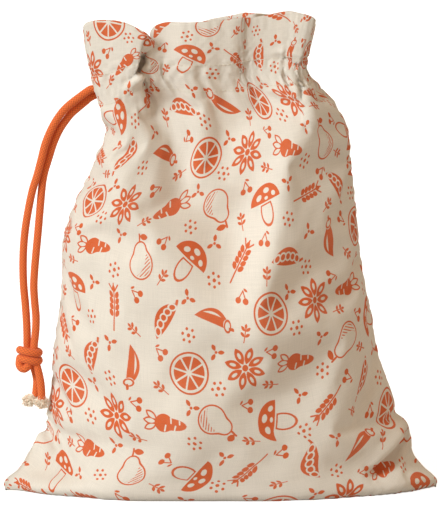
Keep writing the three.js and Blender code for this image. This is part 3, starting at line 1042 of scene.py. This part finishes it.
def star(place):
    """A star-shaped spice: eight pointed pods, each with a seed showing."""
    spot = place.fanned(8).turned(-90)
    pod = spot.leaf(0, 6.1, 8.6, 3.9)
    seed = spot.oval(0, 6.3, 0.72, 1.6)
    return pod.most(-seed).least(place.disc(0, 0, 1.5))


def chilli(place):
    """A curved chilli pepper with its cap and stalk."""
    spot = place.moved(-0.4, -0.8).bent(0.032)
    fruit = spot.turned(90).leaf(0, 0, 19.6, 6.6)
    glint = spot.turned(90).leaf(1, 1.4, 9.4, 1.1)
    cap = spot.oval(7.8, 0, 1.7, 2.3).line().least(spot.stroke(9.2, 0, 10.9, 1.4, 1.2))
    return fruit.most(-glint).most(-spot.disc(7.8, 0, 2.5)).least(cap)


def mill_seeds(place):
    """Small filler: three drop-shaped seeds round a dot."""
    spot = place.fanned(3).turned(-90)
    return spot.leaf(0, 2.6, 3.4, 1.9).least(place.disc(0, 0, 0.7))


def berries(place):
    """Small filler: two round berries on a forked stalk."""
    half = place.mirrored()
    fruit = half.disc(1.9, -1.5, 1.45).least(half.stroke(1.9, -1, 0, 3, 0.6))
    return fruit.least(place.leaf(1.3, 3.4, 2.6, 1.1, 60))


def peppercorns(place):
    """Small filler: six dots in a loose ring round one."""
    return place.fanned(6).disc(3, 0.3, 0.72).least(place.disc(0.2, 0, 0.9))


def sprig(place):
    """Small filler: a twig with four little leaves."""
    half = place.mirrored()
    leaves = half.repeated(2.6, 0, 1).leaf(1.2, 0.4, 2.8, 1.4, -45)
    return leaves.least(place.stroke(0, -3.4, 0, 3.4, 0.5)).least(place.leaf(0, 4.2, 2.4, 1.2))


MOTIFS = [wheat, citrus, pear, pea_pod, star, mushroom, chilli, carrot]
FILLERS = [mill_seeds, berries]
SPRINKLES = [peppercorns, sprig]


def new_group(name, inputs, outputs):
    """A shader node group with named inputs and outputs, and its two end nodes."""
    tree = bpy.data.node_groups.new(name, "ShaderNodeTree")
    for label, kind, value in inputs:
        socket = tree.interface.new_socket(label, in_out="INPUT", socket_type=kind)
        if value is not None:
            socket.default_value = value
    for label, kind in outputs:
        tree.interface.new_socket(label, in_out="OUTPUT", socket_type=kind)
    return tree, tree.nodes.new("NodeGroupInput"), tree.nodes.new("NodeGroupOutput")


def use_group(tree, group, **values):
    node = tree.nodes.new("ShaderNodeGroup")
    node.node_tree = group
    for label, value in values.items():
        socket = node.inputs[label.replace("_", " ")]
        if isinstance(value, bpy.types.NodeSocket):
            tree.links.new(value, socket)
        else:
            socket.default_value = value
    return node


def motif_group(draw):
    """One motif of the print: how far a place is outside its ink, in millimetres."""
    tree, given, result = new_group(
        "motif " + draw.__name__.replace("_", " "), [("Place", "NodeSocketVector", None)],
        [("Distance", "NodeSocketFloat")])
    distance = draw(Place(tree, given.outputs["Place"]))
    tree.links.new(distance.socket, result.inputs["Distance"])
    return tree


def scatter(tree, place, motifs, play, shift_x=0.0, shift_y=0.0):
    """The ink of motifs laid out in staggered rows, each turned and moved a little by chance."""
    across, up = place.parts()
    row_place = up * (1 / PRINT_PITCH_Y) + shift_y
    row = row_place.math("FLOOR")
    stagger = (row * 0.5).math("FRACT")
    column_place = across * (1 / PRINT_PITCH_X) + stagger + shift_x
    column = column_place.math("FLOOR")
    dice = tree.nodes.new("ShaderNodeTexWhiteNoise")
    dice.noise_dimensions = "3D"
    tree.links.new(combined(tree, column + 0.5, row + 0.5).socket, dice.inputs["Vector"])
    throw = tree.nodes.new("ShaderNodeSeparateColor")
    tree.links.new(dice.outputs["Color"], throw.inputs[0])
    first, second, third = (Field(tree, throw.outputs[i]) for i in range(3))
    local_x = (column_place - column - 0.5) * PRINT_PITCH_X + (first - 0.5) * play
    local_y = (row_place - row - 0.5) * PRINT_PITCH_Y + (second - 0.5) * play
    spot = combined(tree, local_x, local_y).turned((third - 0.5) * MOTIF_TURN)
    spot = spot.times(1 / MOTIF_SCALE, 1 / MOTIF_SCALE)
    kind = (column * 3 + row * 2).math("FLOORED_MODULO", len(motifs))
    nearest = None
    for index, draw in enumerate(motifs):
        node = use_group(tree, motif_group(draw), Place=spot.socket)
        chosen = kind.math("COMPARE", index, 0.5)
        distance = Field(tree, node.outputs["Distance"]) + (chosen * -FAR + FAR)
        nearest = distance if nearest is None else nearest.least(distance)
    return nearest


def noise(tree, place, scale, detail=2.0, roughness=0.5):
    """Cloudy noise about 0, from -0.5 to 0.5."""
    node = tree.nodes.new("ShaderNodeTexNoise")
    node.inputs["Scale"].default_value = scale
    node.inputs["Detail"].default_value = detail
    node.inputs["Roughness"].default_value = roughness
    tree.links.new(place.socket, node.inputs["Vector"])
    return Field(tree, node.outputs[0]) - 0.5


def print_group():
    """The print: where the cloth is inked, from 0 to 1, at a place given in metres of flat cloth."""
    tree, given, result = new_group(
        "kitchen print",
        [("Cloth", "NodeSocketVector", None), ("Raggedness", "NodeSocketFloat", 0.3)],
        [("Ink", "NodeSocketFloat")])
    place = Place(tree, given.outputs["Cloth"]).times(1 / MM, 1 / MM)
    ink = scatter(tree, place, MOTIFS, PRINT_PLAY)
    small = scatter(tree, place, FILLERS, FILLER_PLAY, shift_x=0.5, shift_y=-1 / 3)
    smaller = scatter(tree, place, SPRINKLES, FILLER_PLAY, shift_x=0.5, shift_y=1 / 3)
    ragged = noise(tree, place, 1.6) * Field(tree, given.outputs["Raggedness"])
    distance = ink.least(small).least(smaller) * MOTIF_SCALE + ragged
    edge = tree.nodes.new("ShaderNodeMapRange")
    edge.interpolation_type = "SMOOTHSTEP"
    edge.inputs["From Min"].default_value = INK_EDGE
    edge.inputs["From Max"].default_value = -INK_EDGE
    tree.links.new(distance.socket, edge.inputs["Value"])
    tree.links.new(edge.outputs[0], result.inputs["Ink"])
    return tree


def weave_group():
    """Plain weave of uneven spun threads: how high the cloth stands, and how light each thread is, from
    slubs, clouds and fluff, with painted shade where the threads dive under one another.
    """
    tree, given, result = new_group(
        "plain weave",
        [("Cloth", "NodeSocketVector", None), ("Thread", "NodeSocketFloat", 0.5)],
        [("Height", "NodeSocketFloat"), ("Shade", "NodeSocketFloat"), ("Fluff", "NodeSocketFloat")])
    place = Place(tree, given.outputs["Cloth"]).times(1 / MM, 1 / MM)
    thread = Field(tree, given.outputs["Thread"])
    across, up = place.parts()
    across = across + noise(tree, place.times(0.9, 0.12), 1.0) * 0.5
    up = up + noise(tree, place.times(0.12, 0.9), 1.3) * 0.5
    warp = across.math("DIVIDE", thread)
    weft = up.math("DIVIDE", thread)
    over = (warp.math("FLOOR") + weft.math("FLOOR")).math("FLOORED_MODULO", 2.0)
    warp_round = abs((warp * math.pi).math("SINE"))
    weft_round = abs((weft * math.pi).math("SINE"))
    height = warp_round + (weft_round - warp_round) * over
    slub_warp = noise(tree, place.times(2.2, 0.07), 1.0, 3)
    slub_weft = noise(tree, place.times(0.07, 2.2), 1.0, 3)
    slubs = slub_warp + (slub_weft - slub_warp) * (over * 0.8 + 0.1)
    cloud = noise(tree, place, 0.035, 3)
    fluff = noise(tree, place, 2.4, 3, 0.7)
    # The height term is painted shade: the cloth is a little darker where the threads sink between their
    # crossings
    shade = slubs * 0.34 + cloud * 0.12 + fluff * 0.16 + (height - 0.64) * 0.1 + 1
    tree.links.new((height + fluff * 0.7 + slubs * 1.2).socket, result.inputs["Height"])
    tree.links.new(shade.socket, result.inputs["Shade"])
    tree.links.new((fluff + cloud).socket, result.inputs["Fluff"])
    return tree


def braid_group():
    """A braid round a cord, from its own length and girth in metres: height of the yarn, and its shade, which
    is painted shade between the yarns together with the fibres' own uneven tone.
    """
    tree, given, result = new_group(
        "round braid", [("Cord", "NodeSocketVector", None)],
        [("Height", "NodeSocketFloat"), ("Shade", "NodeSocketFloat"), ("Fluff", "NodeSocketFloat")])
    girth, run = Place(tree, given.outputs["Cord"]).parts()
    turn = girth * (BRAID_STRANDS / (math.pi * CORD_DIAMETER))
    climb = run * (BRAID_STRANDS / BRAID_PITCH)
    one, other = turn + climb, turn - climb
    over = (one.math("FLOOR") + other.math("FLOOR")).math("FLOORED_MODULO", 2.0)
    across = one.math("FRACT")
    across = across + (other.math("FRACT") - across) * over
    height = (across * math.pi).math("SINE")
    yarns = abs((across * (3 * math.pi)).math("SINE"))
    fuzz = noise(tree, Place(tree, given.outputs["Cord"]).times(1 / MM, 1 / MM), 1.8, 3, 0.7)
    # Painted shade: darker where the braid and its yarns sink, plus the fibres' own uneven tone from the fuzz
    shade = height * 0.22 + yarns * 0.08 + fuzz * 0.3 + 0.78
    tree.links.new((height + yarns * 0.3 + fuzz * 0.5).socket, result.inputs["Height"])
    tree.links.new(shade.socket, result.inputs["Shade"])
    tree.links.new(fuzz.socket, result.inputs["Fluff"])
    return tree


def fibre_group():
    """Spun fibres: fine uneven grain and tone, from the place on the object."""
    tree, given, result = new_group(
        "spun fibres",
        [("Place", "NodeSocketVector", None), ("Fineness", "NodeSocketFloat", 1.0)],
        [("Height", "NodeSocketFloat"), ("Shade", "NodeSocketFloat"), ("Patches", "NodeSocketFloat")])
    place = Place(tree, given.outputs["Place"]).times(1 / MM, 1 / MM)
    fine = tree.nodes.new("ShaderNodeVectorMath")
    fine.operation = "SCALE"
    tree.links.new(place.socket, fine.inputs[0])
    tree.links.new(given.outputs["Fineness"], fine.inputs["Scale"])
    grain = noise(tree, Place(tree, fine.outputs[0]), 2.6, 3, 0.7)
    patches = noise(tree, place, 0.5, 2) + 0.5
    tree.links.new(grain.socket, result.inputs["Height"])
    tree.links.new((grain * 0.5 + 1).socket, result.inputs["Shade"])
    tree.links.new(patches.socket, result.inputs["Patches"])
    return tree


def new_material(name, sheen):
    material = bpy.data.materials.new(name)
    material.use_nodes = True
    shader = material.node_tree.nodes["Principled BSDF"]
    shader.inputs["Sheen Weight"].default_value = sheen
    shader.inputs["Sheen Roughness"].default_value = SHEEN_ROUGHNESS
    return material, material.node_tree, shader


def blend(tree, factor, first, second, how="MIX"):
    """Mixes two colours; each is a colour or a socket."""
    node = tree.nodes.new("ShaderNodeMix")
    node.data_type = "RGBA"
    node.blend_type = how
    sockets = [socket for socket in node.inputs if socket.type == "RGBA"]
    for value, socket in zip((first, second), sockets):
        if isinstance(value, bpy.types.NodeSocket):
            tree.links.new(value, socket)
        else:
            socket.default_value = (*value, 1)
    if isinstance(factor, bpy.types.NodeSocket):
        tree.links.new(factor, node.inputs[0])
    else:
        node.inputs[0].default_value = factor
    return [socket for socket in node.outputs if socket.type == "RGBA"][0]


def shaded(tree, colour, shade):
    """A colour times a lightness."""
    node = tree.nodes.new("ShaderNodeVectorMath")
    node.operation = "SCALE"
    tree.links.new(colour, node.inputs[0])
    tree.links.new(shade, node.inputs["Scale"])
    return node.outputs[0]


def add_bump(tree, shader, height, distance):
    bump = tree.nodes.new("ShaderNodeBump")
    bump.inputs["Distance"].default_value = distance
    bump.inputs["Strength"].default_value = 1
    tree.links.new(height, bump.inputs["Height"])
    tree.links.new(bump.outputs[0], shader.inputs["Normal"])


def add_roughness(tree, shader, fluff, middle, spread):
    """Rough as fibres are: more where they stand up, less where they are pressed or inked flat."""
    rough = Field(tree, fluff) * spread + middle
    tree.links.new(rough.least(1.0).socket, shader.inputs["Roughness"])


def place_on(tree, uv):
    """The piece's own flat map if it has one, or else its place as an object."""
    if uv:
        node = tree.nodes.new("ShaderNodeUVMap")
        node.uv_map = "UVMap"
        return node.outputs[0]
    return tree.nodes.new("ShaderNodeTexCoord").outputs["Object"]


def printed_cotton():
    material, tree, shader = new_material("printed_cotton", sheen=0.06)
    cloth = place_on(tree, True)
    weave = use_group(tree, weave_group(), Cloth=cloth)
    ink = use_group(tree, print_group(), Cloth=cloth)
    soaked = Field(tree, weave.outputs["Height"]) * 0.22 + 0.83
    fluff = Field(tree, weave.outputs["Fluff"])
    cover = Field(tree, ink.outputs["Ink"]) * (soaked - fluff * INK_WEAR).least(1.0)
    colour = blend(tree, cover.socket, COTTON, INK)
    tree.links.new(shaded(tree, colour, weave.outputs["Shade"]), shader.inputs["Base Color"])
    add_roughness(tree, shader, (fluff - cover * 0.3).socket, middle=0.9, spread=0.2)
    add_bump(tree, shader, weave.outputs["Height"], distance=0.1 * MM)
    return material


def braided_cotton():
    material, tree, shader = new_material("braided_cord", sheen=0.15)
    braid = use_group(tree, braid_group(), Cord=place_on(tree, True))
    # Painted shade: the cord's colour darkens towards the braid's low places, where its yarns dive under one
    # another
    colour = blend(tree, braid.outputs["Height"], CORD_PAINTED_SHADE, CORD_COLOUR)
    tree.links.new(shaded(tree, colour, braid.outputs["Shade"]), shader.inputs["Base Color"])
    add_roughness(tree, shader, braid.outputs["Fluff"], middle=0.84, spread=0.3)
    add_bump(tree, shader, braid.outputs["Height"], distance=0.12 * MM)
    return material


def spun_thread(name, light, dark):
    material, tree, shader = new_material(name, sheen=0.15)
    fibres = use_group(tree, fibre_group(), Place=place_on(tree, False))
    patches = Field(tree, fibres.outputs["Patches"]) * 3 - 1.4
    colour = blend(tree, patches.most(0.0).least(1.0).socket, light, dark)
    tree.links.new(shaded(tree, colour, fibres.outputs["Shade"]), shader.inputs["Base Color"])
    add_roughness(tree, shader, fibres.outputs["Height"], middle=0.88, spread=0.3)
    add_bump(tree, shader, fibres.outputs["Height"], distance=0.1 * MM)
    return material


def add_drawstring():
    cotton = braided_cotton()
    frayed = spun_thread("frayed_ends", FRAYED, FRAYED_ORANGE)
    knot = add_knot(cotton)
    outer_tuft = add_tuft("frayed_end_outer", OUTER_TAIL[-1], OUTER_BALL, "tuft_outer", 3, frayed)
    inner_tuft = add_tuft("frayed_end_inner", INNER_TAIL[-1], INNER_BALL, "tuft_inner", 4, frayed)
    add_cord("drawstring_outer", OUTER_START, OUTER_ROUTE, OUTER_IN_KNOT, OUTER_TAIL,
             ["cord_outer", "tail_outer"], cotton)
    add_cord("drawstring_inner", INNER_START, INNER_ROUTE, INNER_IN_KNOT, INNER_TAIL,
             ["cord_inner", "tail_inner"], cotton)


def add_camera():
    data = bpy.data.cameras.new("camera")
    data.sensor_width = SENSOR
    data.lens = SENSOR * VIEW_DISTANCE / FRAME_HEIGHT
    camera = bpy.data.objects.new("camera", data)
    bpy.context.scene.collection.objects.link(camera)
    middle = Vector((0, 0, VIEW_HEIGHT))
    back = Vector((0, -math.cos(VIEW_ELEVATION), math.sin(VIEW_ELEVATION)))
    camera.location = middle + back * VIEW_DISTANCE
    camera.rotation_euler = (-back).to_track_quat("-Z", "Y").to_euler()
    bpy.context.scene.camera = camera


def add_studio():
    world = bpy.data.worlds.new("studio")
    world.use_nodes = True
    world.node_tree.nodes["Background"].inputs["Color"].default_value = (*FILL_COLOUR, 1)
    world.node_tree.nodes["Background"].inputs["Strength"].default_value = FILL_STRENGTH
    bpy.context.scene.world = world
    bpy.context.scene.view_settings.view_transform = "Standard"
    data = bpy.data.lights.new("key", "SUN")
    data.energy = KEY_STRENGTH
    data.color = KEY_COLOUR
    data.angle = math.radians(KEY_ANGLE)
    light = bpy.data.objects.new("key", data)
    light.rotation_euler = Vector(KEY_DIRECTION).to_track_quat("-Z", "Y").to_euler()
    bpy.context.scene.collection.objects.link(light)
    bm = bmesh.new()
    bmesh.ops.create_grid(bm, x_segments=1, y_segments=1, size=FLOOR_SIZE)
    mesh = bpy.data.meshes.new("floor")
    bm.to_mesh(mesh)
    bm.free()
    floor = new_object("floor", mesh)
    material, tree, shader = new_material("floor", sheen=0)
    shader.inputs["Roughness"].default_value = 0.9
    shader.inputs["Base Color"].default_value = (FLOOR_ALBEDO, FLOOR_ALBEDO, FLOOR_ALBEDO, 1)
    seen = tree.nodes.new("ShaderNodeLightPath").outputs["Is Camera Ray"]
    glow = blend(tree, seen, [0] * 3, [FLOOR_WHITE] * 3)
    tree.links.new(glow, shader.inputs["Emission Color"])
    shader.inputs["Emission Strength"].default_value = 1
    mesh.materials.append(material)


def on_cloth(points, across, up):
    """Places on the cloth, given by where they lie on it when it is flat."""
    column = np.asarray(across) / (2 * FACE_WIDTH) * (points.shape[1] - 1) % (points.shape[1] - 1)
    row = np.asarray(up) / CLOTH_HEIGHT * (len(points) - 1)
    j, i = column.astype(int), row.astype(int)
    s, t = (column - j)[..., None], (row - i)[..., None]
    low = points[i, j] * (1 - s) + points[i, j + 1] * s
    high = points[i + 1, j] * (1 - s) + points[i + 1, j + 1] * s
    return low * (1 - t) + high * t


def add_stitches(points, material):
    """Two rows of stitches along the channel, each stitch a short bowed thread that dives in at its ends."""
    normal = outward(points)
    curve = thread_curve("channel_stitches", STITCH_RADIUS, 0)
    share, height = np.array(STITCH_BOW).T
    for side in (-1, 1):
        up = np.full(len(STITCH_BOW), CHANNEL_LINE + side * STITCH_OFFSET)
        for middle in np.arange(STITCH_PITCH / 2, 2 * FACE_WIDTH, STITCH_PITCH):
            across = middle + share * STITCH_LENGTH
            rise = (height * STITCH_RADIUS)[:, None]
            places = on_cloth(points, across, up) + on_cloth(normal, across, up) * rise
            spline = curve.splines.new("POLY")
            spline.points.add(len(STITCH_BOW) - 1)
            for point, place in zip(spline.points, places):
                point.co = (*place, 1)
    stitches = threads_from("channel_stitches", curve, material)
    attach(stitches, "root")


def add_bag():
    cut = cloth_grid()
    outer = settle(cut)
    outer = finer(fit_outline(outer, cut))
    outer = open_slit(outer)
    rows, columns = outer.shape[0] - 1, outer.shape[1] - 1
    relief = sewing_relief(rows, columns) + crease_relief(outer)
    outer += outward(outer) * relief[..., None]
    outer[..., 2] = np.maximum(outer[..., 2], 0)
    inner = inner_grid(outer, 2 * BODY_ROWS)
    mesh, _ = sewn_mesh("cotton_bag", np.concatenate([outer, inner]), CLOTH_RISE / 2, True)
    bag = new_object("cotton_bag", mesh)
    bag.data.materials.append(printed_cotton())
    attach(bag, "root")
    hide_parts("bag")
    add_stitches(outer, spun_thread("sewing_thread", THREAD, THREAD_DARK))


add_camera()
add_drawstring()
add_bag()
add_studio()
